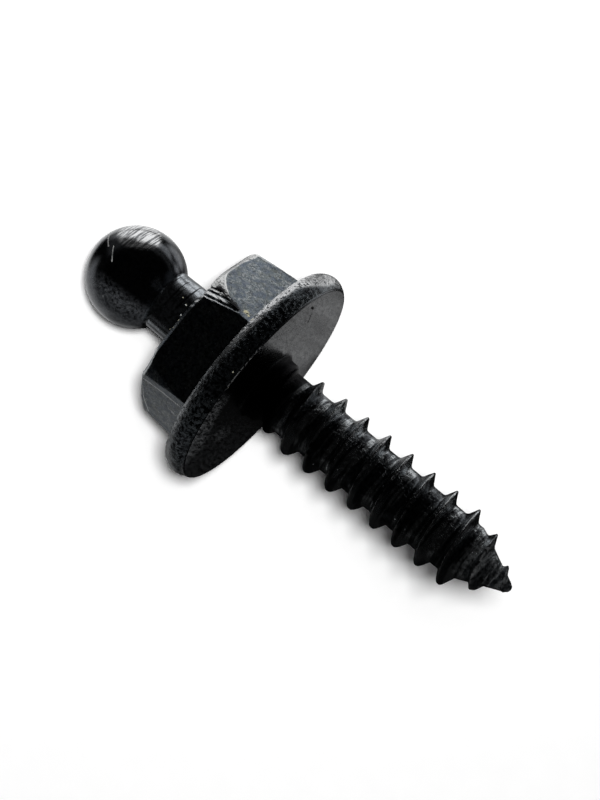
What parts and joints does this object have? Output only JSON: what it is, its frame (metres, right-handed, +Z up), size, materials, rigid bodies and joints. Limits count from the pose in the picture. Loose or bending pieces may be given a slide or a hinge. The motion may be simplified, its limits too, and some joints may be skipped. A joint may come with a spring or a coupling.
{
  "type": "ball-head self-tapping screw",
  "caption": "Black self-tapping screw with a ball head, a flanged hexagon and a coarse thread with a sharp point.",
  "frame": {"origin": "on the ground under the middle of the lying screw", "axes": "+X along the ground from the ball towards the point, +Z up, away from the ground"},
  "size_m": [0.0228, 0.0114, 0.0119],
  "materials": {
    "black_plating": "gloss"
  },
  "bodies": {
    "root": {"ball_head_screw": "black_plating"}
  },
  "joints": []
}
